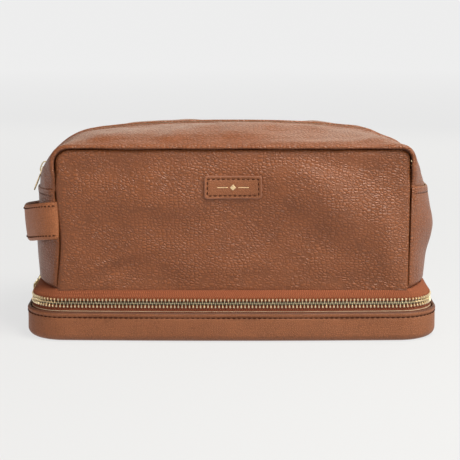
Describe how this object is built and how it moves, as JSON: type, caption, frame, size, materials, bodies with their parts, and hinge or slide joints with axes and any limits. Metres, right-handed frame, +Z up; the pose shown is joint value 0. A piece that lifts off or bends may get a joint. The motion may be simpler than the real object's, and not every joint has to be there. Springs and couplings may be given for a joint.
{
  "type": "shaving kit bag",
  "caption": "Soft leather wash bag with a zipped top, a zip-round base compartment that it tips back from, and a side handle.",
  "frame": {"origin": "middle of the flat underside of the base compartment", "axes": "+X to the right along the length, +Y from the front to the back, +Z up"},
  "size_m": [0.2882, 0.136, 0.143],
  "materials": {
    "pebbled_leather": "satin",
    "smooth_leather": "satin",
    "strap_leather": "satin",
    "lining_cloth": "matte",
    "zip_tape": "matte",
    "zip_brass": "polished",
    "slider_brass": "polished",
    "board": "matte"
  },
  "bodies": {
    "base": {"base_wall": "smooth_leather", "base_bottom_panel": "smooth_leather", "base_board": "board", "base_lining": "lining_cloth", "base_zip_tape_lower": "zip_tape", "base_zip_teeth_lower": "zip_brass", "rear_hinge_lower": "smooth_leather"},
    "main_bag": {"rear_hinge_upper": "smooth_leather", "floor_panel": "smooth_leather", "front_panel": "pebbled_leather", "back_panel": "pebbled_leather", "left_side_panel": "pebbled_leather", "right_side_panel": "pebbled_leather", "left_corner_strip_front": "pebbled_leather", "left_corner_strip_back": "pebbled_leather", "right_corner_strip_front": "pebbled_leather", "right_corner_strip_back": "pebbled_leather", "handle_strap_outer": "strap_leather", "handle_strap_inner": "strap_leather", "label_patch": "strap_leather", "main_lining": "lining_cloth", "base_zip_tape_upper": "zip_tape", "left_zip_end_tape_front": "zip_tape", "left_zip_end_tape_back": "zip_tape", "right_zip_end_tape_front": "zip_tape", "right_zip_end_tape_back": "zip_tape", "base_zip_teeth_upper": "zip_brass", "left_zip_end_teeth_front": "zip_brass", "left_zip_end_teeth_back": "zip_brass", "right_zip_end_teeth_front": "zip_brass", "right_zip_end_teeth_back": "zip_brass", "floor_board": "board"},
    "top_front_flap": {"top_strip_front": "pebbled_leather", "top_zip_tape_front": "zip_tape", "top_zip_teeth_front": "zip_brass"},
    "top_back_flap": {"top_strip_back": "pebbled_leather", "top_zip_tape_back": "zip_tape", "top_zip_teeth_back": "zip_brass"},
    "top_zip_slider": {"top_zip_slider": "slider_brass"},
    "top_zip_pull": {"top_zip_pull": "slider_brass"},
    "base_zip_front_slider": {"base_zip_front_slider": "slider_brass"},
    "base_zip_front_pull": {"base_zip_front_pull": "slider_brass"},
    "base_zip_rear_slider": {"base_zip_rear_slider": "slider_brass"},
    "base_zip_rear_pull": {"base_zip_rear_pull": "slider_brass"}
  },
  "joints": [
    {"name": "bag_tilt", "type": "hinge", "parent": "base", "child": "main_bag", "pos_m": [0, 0.0682, 0.026], "axis": [-1, 0, 0], "range_deg": [0, 100]},
    {"name": "top_front_flap_fold", "type": "hinge", "parent": "main_bag", "child": "top_front_flap", "pos_m": [0, -0.0585, 0.13], "axis": [1, 0, 0], "range_deg": [0, 75]},
    {"name": "top_back_flap_fold", "type": "hinge", "parent": "main_bag", "child": "top_back_flap", "pos_m": [0, 0.0585, 0.13], "axis": [-1, 0, 0], "range_deg": [0, 75]},
    {"name": "top_zip_slider_travel", "type": "hinge", "parent": "main_bag", "child": "top_zip_slider", "pos_m": [-0.09091, 0, 0.09329], "axis": [0, 1, 0], "range_deg": [0, 50]},
    {"name": "top_zip_pull_swing", "type": "hinge", "parent": "top_zip_slider", "child": "top_zip_pull", "pos_m": [-0.13318, 0, 0.1108], "axis": [0, 1, 0], "range_deg": [0, 150]},
    {"name": "base_zip_front_slider_travel", "type": "slide", "parent": "base", "child": "base_zip_front_slider", "axis": [0, -1, 0], "range_m": [0, 0.034]},
    {"name": "base_zip_rear_slider_travel", "type": "slide", "parent": "base", "child": "base_zip_rear_slider", "axis": [0, 1, 0], "range_m": [0, 0.019]},
    {"name": "base_zip_front_pull_swing", "type": "hinge", "parent": "base_zip_front_slider", "child": "base_zip_front_pull", "pos_m": [-0.14005, 0.0034, 0.026], "axis": [0, 0, -1], "range_deg": [0, 100]},
    {"name": "base_zip_rear_pull_swing", "type": "hinge", "parent": "base_zip_rear_slider", "child": "base_zip_rear_pull", "pos_m": [-0.14005, 0.0126, 0.026], "axis": [0, 0, 1], "range_deg": [0, 100]}
  ]
}
